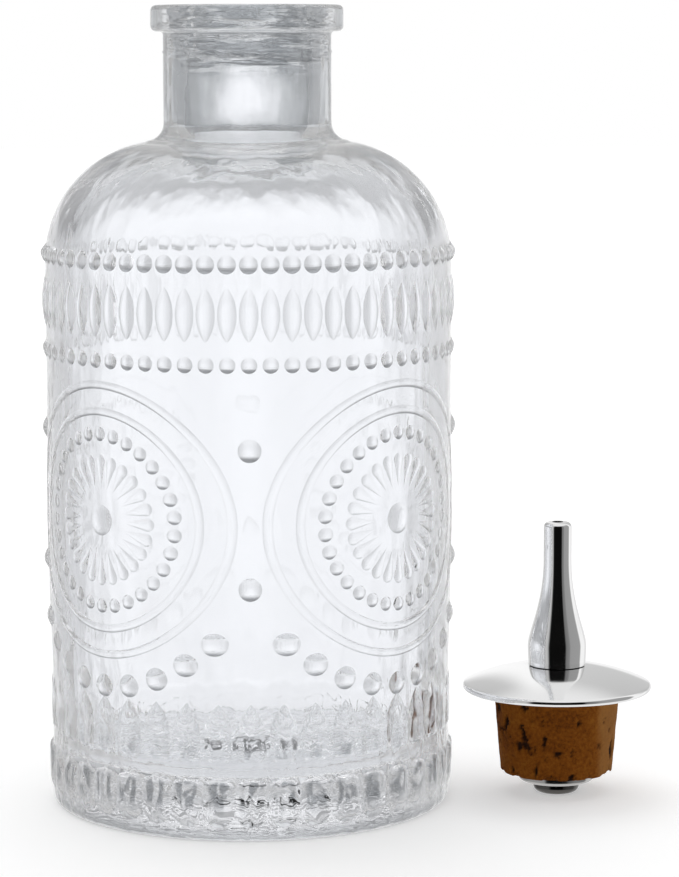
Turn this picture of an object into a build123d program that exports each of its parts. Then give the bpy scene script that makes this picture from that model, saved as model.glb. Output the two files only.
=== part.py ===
"""A pressed glass bitters bottle with its dasher stopper, which stands on the table beside it.

Millimetres, +Z up. The origin is the centre of the bottle's base on the table, and the stopper stands
towards +X. Angles round the bottle start at its front, -Y, and grow towards +X. Each piece is written
to parts/NODE.step.
"""

import os
from math import asin, cos, degrees, hypot, pi, radians, sin, sqrt

from build123d import *

# Bottle: overall sizes
bottle_height = 128.0
body_radius = 32.5
wall = 3.2
base_thickness = 9.0
heel_rounding = 1.5
push_up_radius = 22.0
push_up_rise = 1.6

# Bottle: foot and waist, each set back from the straight wall above them
foot_inset = 0.3
foot_top = 10.4
waist_inset = 0.4
foot_step = 1.8

# Bottle: shoulder, neck and lip
shoulder_rise = 19.0
neck_length = 17.2
neck_radius = 13.4
neck_fillet = 2.8
lip_overhang = 1.95
lip_thickness = 4.2
lip_rounding = 0.9
neck_wall = 3.75
mouth_rounding = 0.8
cavity_rounding = 4.0
throat_rounding = 2.0

# Bottle: three rows of motifs round the top of the wall, the lower two on flat facets
row_count = 62
facet_rise = 0.05
bead_above_shoulder = 1.4
bead_width_share = 0.85
bead_rise = 0.7
row_band_inset = 0.4
lens_inset = 2.3
lens_length = 7.8
lens_width_share = 0.85
lens_rise = 0.5
low_bead_inset = 3.7
low_bead_width_share = 0.76
low_bead_rise = 0.6
row_band_margin = 2.0

# Bottle: medallions round the wall, with the beads between and below them
medallion_spacing_share = 1.19
medallion_gap = 1.3
ring_width = 1.0
ring_rise = 0.5
inner_ring_share = 0.81
boss_diameter = 4.8
boss_rise = 0.9
upper_gap_bead_share = 0.55
lower_gap_bead_share = 0.44
gap_bead_diameter = 4.0
gap_bead_rise = 0.9
swag_gap = 4.5
swag_count = 9
swag_step_angle = 11.5
swag_bead_diameter = 3.6
swag_bead_rise = 0.8
swag_clearance = 0.3
taper_clearance = 2.3

# Bottle: flutes, pointed above the foot and round-ended on it
flute_count = 40
lancet_margin = 0.45
lancet_length = 7.8
lancet_width_share = 0.68
lancet_point_share = 0.46
lancet_rise = 0.35
foot_flute_bottom = 2.5
foot_flute_margin = 0.7
foot_flute_width_share = 0.88
foot_flute_rise = 0.35

# Stopper: how far it stands from the bottle, and how far its pieces keep apart
stopper_gap = 2.1
thread_clearance = 0.05
running_clearance = 0.06
seam_clearance = 0.1
cork_clearance = 0.1

# Stopper: nut and washer below the cork
nut_radius = 3.75
nut_height = 2.0
nut_rounding = 1.1
washer_radius = 6.15
washer_thickness = 1.6
washer_chamfer = 0.6

# Stopper: cork and the domed flange on it
cork_top_radius = 10.3
cork_bottom_radius = 9.2
cork_length = 13.5
cork_edge = 0.4
flange_radius = 15.4
flange_rim = 1.15
flange_dome_rise = 3.1
flange_rim_rounding = 0.4

# Stopper: tube through the cork
tube_radius = 2.0
tube_bore_radius = 1.1
tube_end_inset = 0.5
thread_engagement = 7.0

# Stopper: nozzle on the tube
nozzle_length = 23.2
nozzle_belly_radius = 4.8
nozzle_base_radius = 4.65
nozzle_belly_height = 2.8
nozzle_stem_height = 17.0
nozzle_stem_radius = 2.28
nozzle_belly_pull = 2.4
nozzle_stem_pull = 7.4
nozzle_tip_rounding = 0.8
nozzle_bore_radius = 0.9

# Reach of cutting solids past the faces that they cut
overrun = 5.0

# The bottle's radii
foot_radius = body_radius - foot_inset
waist_radius = body_radius - waist_inset
lip_radius = neck_radius + lip_overhang
mouth_radius = neck_radius - neck_wall

# The bottle's heights above the table, from the foot up to the waist and from the mouth down to it
waist_bottom = foot_top + foot_step
lancet_bottom = waist_bottom + lancet_margin
lancet_top = lancet_bottom + lancet_length
waist_top = lancet_top + lancet_margin
foot_flute_top = foot_top - foot_flute_margin
shoulder_top = bottle_height - lip_thickness - neck_length
shoulder_bottom = shoulder_top - shoulder_rise
bead_height = shoulder_bottom + bead_above_shoulder
row_band_top = shoulder_bottom - row_band_inset
lens_height = shoulder_bottom - lens_inset - lens_length / 2
low_bead_height = lens_height - lens_length / 2 - low_bead_inset
row_band_bottom = low_bead_height - row_band_margin

# The rows' and flutes' widths, from their steps round the wall
row_step = 2 * pi * body_radius / row_count
bead_diameter = bead_width_share * row_step
lens_width = lens_width_share * row_step
low_bead_diameter = low_bead_width_share * row_step
flute_step = 2 * pi * waist_radius / flute_count
lancet_width = lancet_width_share * flute_step
lancet_point_length = lancet_point_share * lancet_length
foot_flute_width = foot_flute_width_share * flute_step

# The medallions' sizes, which fill the wall between the rows and the flutes
medallion_span = row_band_bottom - waist_top - medallion_gap - swag_gap - swag_clearance
outer_ring_radius = (medallion_span - swag_bead_diameter / 2) / 2
inner_ring_radius = inner_ring_share * outer_ring_radius
medallion_count = round(pi * body_radius / (outer_ring_radius * medallion_spacing_share))
swag_radius = outer_ring_radius + swag_gap
medallion_height = row_band_bottom - medallion_gap - outer_ring_radius
upper_gap_bead_height = medallion_height + upper_gap_bead_share * outer_ring_radius
lower_gap_bead_height = medallion_height - lower_gap_bead_share * outer_ring_radius
swag_end_angle = radians((swag_count - 1) / 2 * swag_step_angle)
swag_end_height = medallion_height - swag_radius * cos(swag_end_angle)
wall_bottom = swag_end_height + swag_bead_diameter / 2 + taper_clearance

# The stopper's place, and the heights of its pieces above the table from the nut up
stopper_distance = body_radius + stopper_gap + flange_radius
washer_bottom = nut_height
cork_bottom = washer_bottom + washer_thickness
flange_bottom = cork_bottom + cork_length
flange_top = flange_bottom + flange_rim + flange_dome_rise
nozzle_bottom = flange_top + seam_clearance
tube_top = nozzle_bottom + thread_engagement


def outline(*edges):
    """A flat outline, whose first coordinate is the radius and whose second is the height."""
    return make_face(Curve() + list(edges))


def rounded(profile, radius, height, rounding):
    """The outline with its corner nearest to a radius and a height rounded."""
    corner = min(profile.vertices(), key=lambda v: hypot(v.X - radius, v.Y - height))
    return fillet(corner, rounding)


def turned(profile):
    """The solid that an outline sweeps when it turns about the Z axis."""
    return revolve(Plane.XZ * profile, Axis.Z)


def ring_profile(inner, outer, bottom, top):
    """The outline of a plain tube or disc between two radii and two heights."""
    return Polyline((inner, bottom), (outer, bottom), (outer, top), (inner, top), (inner, bottom))


def wall_seat(angle, height, radius):
    """A place on the bottle's wall: local X goes round it, Y up it and Z straight out of it."""
    outward = (sin(radians(angle)), -cos(radians(angle)), 0)
    along = (cos(radians(angle)), sin(radians(angle)), 0)
    origin = (radius * outward[0], radius * outward[1], height)
    return Plane(origin=origin, x_dir=along, z_dir=outward).location


def round_places(count):
    """The angles of a number of copies round the bottle, the first of them at the front."""
    return [index * 360 / count for index in range(count)]


def bead(diameter, rise):
    """A round bead that stands a rise proud of its seat, with its poles level and its seam inwards."""
    radius = (diameter**2 / 4 + rise**2) / (2 * rise)
    middle = Plane(origin=(0, 0, rise - radius), x_dir=(0, 0, -1), z_dir=(0, 1, 0))
    return middle.location * Sphere(radius)


def pad(sketch, rise):
    """A raised pad with upright sides, rooted in the wall below its seat."""
    return Pos(0, 0, -wall / 2) * extrude(sketch, rise + wall / 2)


def pointed_pad(width, length, point_length, rise):
    """A pad with straight sides and a pointed arch at its top end."""
    half = width / 2
    spring = length / 2 - point_length
    sides = Polyline((-half, spring), (-half, -length / 2), (half, -length / 2), (half, spring))
    arch_radius = (point_length**2 + half**2) / (2 * half)
    right = RadiusArc((half, spring), (0, length / 2), -arch_radius)
    left = RadiusArc((0, length / 2), (-half, spring), -arch_radius)
    return pad(make_face(Curve() + [sides, right, left]), rise)


def lens_pad(width, length, rise):
    """A pad in the shape of two equal arcs that meet in a point above and below."""
    half = width / 2
    reach = length / 2
    arc_radius = (reach**2 + half**2) / (2 * half)
    right = RadiusArc((0, -reach), (0, reach), -arc_radius)
    left = RadiusArc((0, reach), (0, -reach), -arc_radius)
    return pad(make_face(Curve() + [right, left]), rise)


def facet_band(count, seat_radius, bottom, top):
    """A many-sided drum whose flat facets each carry one motif, the first facing the front."""
    flat = RegularPolygon(seat_radius, count, major_radius=False, rotation=-90 - 180 / count)
    return Pos(0, 0, bottom) * extrude(flat, top - bottom)


def bottle_outline():
    """The half outline of the bottle's outside, filled in to the axis."""
    lip_bottom = bottle_height - lip_thickness
    profile = outline(
        Polyline(
            (0, 0),
            (foot_radius, 0),
            (foot_radius, foot_top),
            (waist_radius, waist_bottom),
            (waist_radius, waist_top),
            (body_radius, wall_bottom),
            (body_radius, shoulder_bottom),
        ),
        EllipticalCenterArc(
            (neck_radius, shoulder_bottom), body_radius - neck_radius, shoulder_rise, 0, arc_size=90
        ),
        Polyline(
            (neck_radius, shoulder_top),
            (neck_radius, lip_bottom),
            (lip_radius, lip_bottom),
            (lip_radius, bottle_height),
            (0, bottle_height),
            (0, 0),
        ),
    )
    profile = rounded(profile, foot_radius, 0, heel_rounding)
    profile = rounded(profile, neck_radius, shoulder_top, neck_fillet)
    profile = rounded(profile, lip_radius, lip_bottom, lip_rounding)
    return rounded(profile, lip_radius, bottle_height, lip_rounding)


def cavity_outline():
    """The half outline of the bottle's inside, which runs out through the mouth."""
    inner_radius = body_radius - wall
    throat_bottom = shoulder_top - wall
    profile = outline(
        Polyline((0, base_thickness), (inner_radius, base_thickness), (inner_radius, shoulder_bottom)),
        EllipticalCenterArc(
            (neck_radius, shoulder_bottom),
            inner_radius - neck_radius,
            shoulder_rise - wall,
            0,
            arc_size=90,
        ),
        Polyline(
            (neck_radius, throat_bottom),
            (mouth_radius, throat_bottom),
            (mouth_radius, bottle_height + overrun),
            (0, bottle_height + overrun),
            (0, base_thickness),
        ),
    )
    profile = rounded(profile, inner_radius, base_thickness, cavity_rounding)
    return rounded(profile, mouth_radius, throat_bottom, throat_rounding)


def mouth_flare():
    """The outline that rounds the inner edge of the lip."""
    edge = bottle_height - mouth_rounding
    return outline(
        RadiusArc(
            (mouth_radius, edge), (mouth_radius + mouth_rounding, bottle_height), mouth_rounding
        ),
        Polyline(
            (mouth_radius + mouth_rounding, bottle_height),
            (mouth_radius + mouth_rounding, bottle_height + overrun),
            (0, bottle_height + overrun),
            (0, edge),
            (mouth_radius, edge),
        ),
    )


def row_motifs():
    """The three rows round the top of the wall: beads, pointed lenses and smaller beads, in line."""
    facet = body_radius + facet_rise
    top_bead = bead(bead_diameter, bead_rise)
    lens = lens_pad(lens_width, lens_length, lens_rise)
    low_bead = bead(low_bead_diameter, low_bead_rise)
    placed = []
    for angle in round_places(row_count):
        placed.append(wall_seat(angle, bead_height, shoulder_radius(bead_height)) * top_bead)
        placed.append(wall_seat(angle, lens_height, facet) * lens)
        placed.append(wall_seat(angle, low_bead_height, facet) * low_bead)
    return placed


def flute_motifs():
    """The pointed flutes above the foot and the round-ended ones on it."""
    lancet = pointed_pad(
        lancet_width, lancet_top - lancet_bottom, lancet_point_length, lancet_rise
    )
    foot_flute_length = foot_flute_top - foot_flute_bottom
    foot_flute = pad(SlotOverall(foot_flute_length, foot_flute_width, 90), foot_flute_rise)
    lancet_height = (lancet_bottom + lancet_top) / 2
    foot_flute_height = (foot_flute_bottom + foot_flute_top) / 2
    placed = []
    for angle in round_places(flute_count):
        placed.append(wall_seat(angle, lancet_height, waist_radius + facet_rise) * lancet)
        placed.append(wall_seat(angle, foot_flute_height, foot_radius + facet_rise) * foot_flute)
    return placed


def round_wall_angle(middle, offset):
    """The angle on the wall at a sideways offset from a medallion's middle, seen from its front."""
    return middle + degrees(asin(offset / body_radius))


def medallion_motifs():
    """Each medallion's two rings, its boss and the swag of beads that hangs below it."""
    reach = Cylinder(body_radius + ring_rise, bottle_height + medallion_height)
    placed = []
    for angle in round_places(medallion_count):
        middle = angle + 180 / medallion_count
        front = wall_seat(middle, medallion_height, 0)
        for radius in (outer_ring_radius, inner_ring_radius):
            ring = extrude(Circle(radius) - Circle(radius - ring_width), body_radius + overrun)
            placed.append((front * ring) & reach)
        placed.append(wall_seat(middle, medallion_height, body_radius) * bead(boss_diameter, boss_rise))
        for index in range(swag_count):
            turn = radians((index - (swag_count - 1) / 2) * swag_step_angle)
            place = round_wall_angle(middle, swag_radius * sin(turn))
            height = medallion_height - swag_radius * cos(turn)
            drop = bead(swag_bead_diameter, swag_bead_rise)
            placed.append(wall_seat(place, height, swag_seat(height)) * drop)
    return placed


def shoulder_radius(height):
    """The bottle's outer radius at a height on the shoulder."""
    rise_share = (height - shoulder_bottom) / shoulder_rise
    return neck_radius + (body_radius - neck_radius) * sqrt(1 - rise_share**2)


def swag_seat(height):
    """The wall's radius at a height in the taper above the waist."""
    share = min(1, (height - waist_top) / (wall_bottom - waist_top))
    return waist_radius + share * (body_radius - waist_radius)


def gap_beads():
    """The two beads in each gap between neighbouring medallions."""
    drop = bead(gap_bead_diameter, gap_bead_rise)
    return [
        wall_seat(angle, height, body_radius) * drop
        for angle in round_places(medallion_count)
        for height in (upper_gap_bead_height, lower_gap_bead_height)
    ]


def glass_bottle():
    """The bottle: its turned body with facets, relief, cavity, mouth and push-up."""
    bands = [
        facet_band(row_count, body_radius + facet_rise, row_band_bottom, row_band_top),
        facet_band(flute_count, waist_radius + facet_rise, waist_bottom, waist_top),
        facet_band(flute_count, foot_radius + facet_rise, heel_rounding, foot_top),
    ]
    blank = turned(bottle_outline()).fuse(*bands)
    relief = row_motifs() + flute_motifs() + medallion_motifs() + gap_beads()
    push_up_sphere = (push_up_radius**2 + push_up_rise**2) / (2 * push_up_rise)
    push_up = Pos(0, 0, push_up_rise - push_up_sphere) * Sphere(push_up_sphere)
    cavity = [turned(cavity_outline()), turned(mouth_flare()), push_up]
    return blank.fuse(*relief).cut(*cavity)


def tube_nut():
    """The round nut that the stopper stands on, its lower edge rounded."""
    profile = outline(ring_profile(tube_radius + thread_clearance, nut_radius, 0, nut_height))
    return turned(rounded(profile, nut_radius, 0, nut_rounding))


def clamp_washer():
    """The washer that the nut presses against the cork, its lower edge bevelled."""
    bore = tube_radius + thread_clearance
    top = cork_bottom - cork_clearance
    profile = outline(ring_profile(bore, washer_radius, washer_bottom, top))
    edge = min(profile.vertices(), key=lambda v: hypot(v.X - washer_radius, v.Y - washer_bottom))
    return turned(chamfer(edge, washer_chamfer))


def cork():
    """The tapered cork with its hole for the tube."""
    bore = tube_radius + thread_clearance
    top = flange_bottom - cork_clearance
    profile = outline(
        Polyline(
            (bore, cork_bottom),
            (cork_bottom_radius, cork_bottom),
            (cork_top_radius, top),
            (bore, top),
            (bore, cork_bottom),
        )
    )
    return turned(rounded(profile, cork_bottom_radius, cork_bottom, cork_edge))


def dome_flange():
    """The flange with a flat underside, a thin rim and a domed top."""
    bore = tube_radius + thread_clearance
    rim_top = flange_bottom + flange_rim
    dome = (flange_radius**2 + flange_dome_rise**2) / (2 * flange_dome_rise)
    blank = turned(outline(ring_profile(0, flange_radius, flange_bottom, flange_top + overrun)))
    blank &= Pos(0, 0, rim_top + flange_dome_rise - dome) * Sphere(dome)
    lower_rim = blank.edges().filter_by(GeomType.CIRCLE).sort_by(Axis.Z)[0]
    blank = fillet(lower_rim, flange_rim_rounding)
    return blank - Pos(0, 0, flange_bottom) * Cylinder(bore, flange_top + overrun)


def through_tube():
    """The tube that carries the liquid from below the cork up into the nozzle."""
    return turned(outline(ring_profile(tube_bore_radius, tube_radius, tube_end_inset, tube_top)))


def nozzle():
    """The nozzle: a round belly drawn up into a slim stem with a rounded tip."""
    belly = nozzle_bottom + nozzle_belly_height
    stem = nozzle_bottom + nozzle_stem_height
    tip = nozzle_bottom + nozzle_length
    socket = tube_radius + running_clearance
    socket_top = tube_top + running_clearance + seam_clearance
    profile = outline(
        Polyline((nozzle_bore_radius, nozzle_bottom), (nozzle_base_radius, nozzle_bottom)),
        Bezier(
            (nozzle_base_radius, nozzle_bottom),
            (nozzle_belly_radius, nozzle_bottom + nozzle_belly_height / 2),
            (nozzle_belly_radius, belly),
        ),
        Bezier(
            (nozzle_belly_radius, belly),
            (nozzle_belly_radius, belly + nozzle_belly_pull),
            (nozzle_stem_radius, stem - nozzle_stem_pull),
            (nozzle_stem_radius, stem),
        ),
        Polyline(
            (nozzle_stem_radius, stem),
            (nozzle_stem_radius, tip),
            (nozzle_bore_radius, tip),
            (nozzle_bore_radius, nozzle_bottom),
        ),
    )
    body = turned(rounded(profile, nozzle_stem_radius, tip, nozzle_tip_rounding))
    hollow = ring_profile(0, socket, nozzle_bottom - overrun, socket_top)
    return body - turned(outline(hollow))


bottle_nodes = {"glass_bottle": glass_bottle()}
stopper_nodes = {
    "tube_nut": tube_nut(),
    "clamp_washer": clamp_washer(),
    "cork": cork(),
    "dome_flange": dome_flange(),
    "through_tube": through_tube(),
    "nozzle": nozzle(),
}
placed_nodes = {
    **bottle_nodes,
    **{name: Pos(stopper_distance, 0, 0) * piece for name, piece in stopper_nodes.items()},
}

os.makedirs("parts", exist_ok=True)
for name, piece in placed_nodes.items():
    export_step(piece, f"parts/{name}.step")
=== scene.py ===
"""The looks of a pressed glass bitters bottle and its dasher stopper, in metres, +Z up.

The bottle stands at the origin and the stopper stands beside it, towards +X. Angles round the bottle
start at its front, -Y, and grow towards +X.
"""

import logging
import math
from collections.abc import Sequence
from dataclasses import dataclass
from enum import Enum

import bmesh
import bpy
import numpy as np
from mathutils import Matrix, Vector, noise
from numpy.lib.mixins import NDArrayOperatorsMixin

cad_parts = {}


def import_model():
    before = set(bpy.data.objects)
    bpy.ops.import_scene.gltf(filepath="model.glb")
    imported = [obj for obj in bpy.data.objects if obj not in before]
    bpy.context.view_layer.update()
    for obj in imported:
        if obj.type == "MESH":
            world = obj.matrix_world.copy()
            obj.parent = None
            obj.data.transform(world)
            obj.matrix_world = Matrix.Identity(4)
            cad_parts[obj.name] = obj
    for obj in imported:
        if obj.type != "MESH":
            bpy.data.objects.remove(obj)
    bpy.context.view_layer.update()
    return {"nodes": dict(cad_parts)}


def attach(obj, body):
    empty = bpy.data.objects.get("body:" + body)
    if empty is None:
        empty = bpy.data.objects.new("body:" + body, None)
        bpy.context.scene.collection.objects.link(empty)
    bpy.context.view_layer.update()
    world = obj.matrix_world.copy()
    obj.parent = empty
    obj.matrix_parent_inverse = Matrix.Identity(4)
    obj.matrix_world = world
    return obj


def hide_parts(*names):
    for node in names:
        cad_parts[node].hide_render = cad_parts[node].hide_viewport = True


MM = 0.001
Point = tuple[float, float]
Triple = tuple[float, float, float]
Colour = tuple[float, float, float]
WHITE: Colour = (1.0, 1.0, 1.0)

log = logging.getLogger("bitters bottle")


class Body(Enum):
    """The moving bodies of the frame that pieces ride on."""

    BOTTLE = "bottle"
    STOPPER = "stopper"
    NOZZLE = "nozzle"


class Slot(Enum):
    """The material slots of the record."""

    GLASS = "glass"
    CHROME = "chrome"
    CORK = "cork"


def arc(centre: Point, radii: float | Point, start: float, end: float, steps: int) -> list[Point]:
    """Points along an arc of a circle or an ellipse, seen in a radius and height plane.

    Args:
        centre: the arc's centre, as radius and height.
        radii: the circle's radius, or the ellipse's half axes along the radius and along the height.
        start: the first angle in degrees, from the outward direction.
        end: the last angle in degrees.
        steps: how many pieces the arc is cut into.

    Returns:
        The points, both ends included.
    """
    wide, tall = radii if isinstance(radii, tuple) else (radii, radii)
    turns = [math.radians(start + (end - start) * index / steps) for index in range(steps + 1)]
    return [(centre[0] + wide * math.cos(turn), centre[1] + tall * math.sin(turn)) for turn in turns]


def bow(points: Sequence[Point], steps: int) -> list[Point]:
    """Points along a Bezier curve, which is a straight run where it has two control points.

    Args:
        points: the curve's control points.
        steps: how many pieces the curve is cut into.

    Returns:
        The points, both ends included.
    """
    curve = []
    for share in (index / steps for index in range(steps + 1)):
        row = list(points)
        while len(row) > 1:
            row = [(a[0] + (b[0] - a[0]) * share, a[1] + (b[1] - a[1]) * share) for a, b in zip(row, row[1:])]
        curve.append(row[0])
    return curve


def run(start: Point, end: Point, steps: int) -> list[Point]:
    """Evenly spaced points on a straight run, both ends included."""
    return bow([start, end], steps)


def joined(*stretches: Sequence[Point]) -> list[Point]:
    """One outline from stretches that may share their end points.

    Args:
        stretches: the outline's stretches in order.

    Returns:
        The points of the whole outline, without repeats.
    """
    points: list[Point] = []
    for point in (point for stretch in stretches for point in stretch):
        if not points or math.dist(points[-1], point) > 1e-7:
            points.append(point)
    return points


def spun(points: Sequence[Point], steps: int, sectors: int, away: float = 0.0) -> bmesh.types.BMesh:
    """Turns an outline about a vertical axis.

    Args:
        points: the outline as radius and height.
        steps: how many steps the full turn takes.
        sectors: how many copies of one spun sector make up the turn.
        away: how far the axis stands from the origin, towards +X.

    Returns:
        The turned surface, with its seam and poles merged and its faces pointing outwards.
    """
    mesh = bmesh.new()
    verts = [mesh.verts.new((away, -radius, height)) for radius, height in points]
    edges = [mesh.edges.new(pair) for pair in zip(verts, verts[1:])]
    axis_at = Vector((away, 0.0, 0.0))
    bmesh.ops.spin(
        mesh,
        geom=verts + edges,
        cent=axis_at,
        axis=(0.0, 0.0, 1.0),
        angle=math.tau / sectors,
        steps=steps // sectors,
    )
    sector = mesh.verts[:] + mesh.edges[:] + mesh.faces[:]
    for index in range(1, sectors):
        copy = bmesh.ops.duplicate(mesh, geom=sector)["geom"]
        bmesh.ops.rotate(
            mesh,
            verts=[part for part in copy if isinstance(part, bmesh.types.BMVert)],
            cent=axis_at,
            matrix=Matrix.Rotation(math.tau * index / sectors, 3, "Z"),
        )
    bmesh.ops.remove_doubles(mesh, verts=mesh.verts, dist=1e-6)
    bmesh.ops.recalc_face_normals(mesh, faces=mesh.faces)
    return mesh


def finished(mesh: bmesh.types.BMesh, name: str) -> bpy.types.Object:
    """Turns a bmesh into a smooth-shaded object at the origin.

    Args:
        mesh: the finished bmesh, which is freed.
        name: the piece's name.

    Returns:
        The object, linked to the scene.
    """
    for face in mesh.faces:
        face.smooth = True
    data = bpy.data.meshes.new(name)
    mesh.to_mesh(data)
    mesh.free()
    piece = bpy.data.objects.new(name, data)
    bpy.context.scene.collection.objects.link(piece)
    return piece


def placed(piece: bpy.types.Object, body: Body, node: str) -> None:
    """Ties a piece to its body and hides the frame node that it stands for.

    Args:
        piece: the piece.
        body: the body that it moves with.
        node: the frame's node that it replaces.
    """
    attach(piece, body.value)
    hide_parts(node)
    log.info("%s: %d faces on %s", piece.name, len(piece.data.polygons), body.value)


class Shader:
    """Adds and links the nodes of one material or world."""

    def __init__(self, owner: bpy.types.Material | bpy.types.World) -> None:
        """Starts on an emptied node tree.

        Args:
            owner: the material or world to fill.
        """
        owner.use_nodes = True
        self.owner = owner
        self.tree = owner.node_tree
        self.tree.nodes.clear()

    def add(self, kind: str, inputs: dict | None = None, output: str | int = 0, **settings: object) -> "Wire":
        """Adds a node, sets its options and sets or links its inputs.

        Args:
            kind: the node's type name after ShaderNode.
            inputs: input names or numbers, with a number, a colour or a wire each.
            output: the name or number of the output to read.
            settings: the node's own options.

        Returns:
            The wire from the output.
        """
        node = self.tree.nodes.new("ShaderNode" + kind)
        for option, value in settings.items():
            setattr(node, option, value)
        for name, value in (inputs or {}).items():
            socket = node.inputs[name]
            if isinstance(value, Wire):
                self.tree.links.new(value.socket, socket)
            else:
                socket.default_value = (*value, 1.0) if socket.type == "RGBA" else value
        return Wire(self, node.outputs[output] if node.outputs else None)

    def math(self, operation: str, *values: object) -> "Wire":
        """Adds a Math node with its values in order."""
        return self.add("Math", dict(enumerate(values)), operation=operation)

    def place(self, kind: str = "Object") -> "Place":
        """Gives the three coordinates of a kind."""
        place = self.add("TexCoord", output=kind)
        return tuple(self.add("SeparateXYZ", {0: place}, axis) for axis in range(3))

    def noise(self, scale: float, detail: float, stretch: Triple = (1.0, 1.0, 1.0), **more: float) -> "Wire":
        """Adds a noise, around 0.5, on stretched Object coordinates, with more inputs by their names."""
        place = self.add("Mapping", {"Vector": self.add("TexCoord", output="Object"), "Scale": stretch})
        return self.add("TexNoise", {"Vector": place, "Scale": scale, "Detail": detail, **more})

    def ramp(self, factor: object, stops: Sequence[tuple[float, float | Colour]]) -> "Wire":
        """Adds a Color Ramp.

        Args:
            factor: what the ramp reads.
            stops: places from 0 to 1 with a tone of grey or a colour each.

        Returns:
            The ramp's colour.
        """
        colour = self.add("ValToRGB", {0: factor})
        elements = colour.socket.node.color_ramp.elements
        while len(elements) < len(stops):
            elements.new(1.0)
        for element, (place, tone) in zip(elements, stops):
            element.position = place
            element.color = (*(tone if isinstance(tone, tuple) else (tone, tone, tone)), 1.0)
        return colour

    def eased(self, value: object, low: float, high: float, start: float = 0.0, end: float = 1.0) -> "Wire":
        """Eases a value from the range of low to high into the range of start to end."""
        inputs = {0: value, 1: low, 2: high, 3: start, 4: end}
        return self.add("MapRange", inputs, interpolation_type="SMOOTHSTEP")

    def mixed(self, share: object, first: object, second: object) -> "Wire":
        """Mixes a share of the second colour into the first."""
        return self.add("Mix", {0: share, 6: first, 7: second}, 2, data_type="RGBA")

    def surface(self, inputs: dict) -> bpy.types.Material:
        """Ends a material with a Principled surface, and gives the material."""
        self.add("OutputMaterial", {"Surface": self.add("BsdfPrincipled", inputs)})
        return self.owner


class Wire(NDArrayOperatorsMixin):
    """What a shader works out for each point: a number takes the same arithmetic as a numpy array."""

    def __init__(self, shader: Shader, socket: bpy.types.NodeSocket | None) -> None:
        """Keeps the socket that the wire comes from."""
        self.shader = shader
        self.socket = socket

    def __array_ufunc__(self, function: np.ufunc, method: str, *values: object) -> "Wire":
        """Adds the Math node of a numpy function, which has its name in capitals, but for the sine."""
        operation = {"sin": "SINE"}.get(function.__name__, function.__name__.upper())
        return self.shader.math(operation, *values)

    def __neg__(self) -> "Wire":
        """Turns the sign."""
        return self * -1.0


Place = tuple[Wire, Wire, Wire]
Values = np.ndarray | Wire


def folded(value: Values, pitch: float) -> Values:
    """Works out the distance to the nearest multiple of a pitch.

    Args:
        value: the values to fold.
        pitch: the distance between two multiples.

    Returns:
        The distances, with their signs.
    """
    if isinstance(value, Wire):
        return value.shader.math("WRAP", value, pitch / 2, -pitch / 2)
    return (value + pitch / 2) % pitch - pitch / 2


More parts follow.
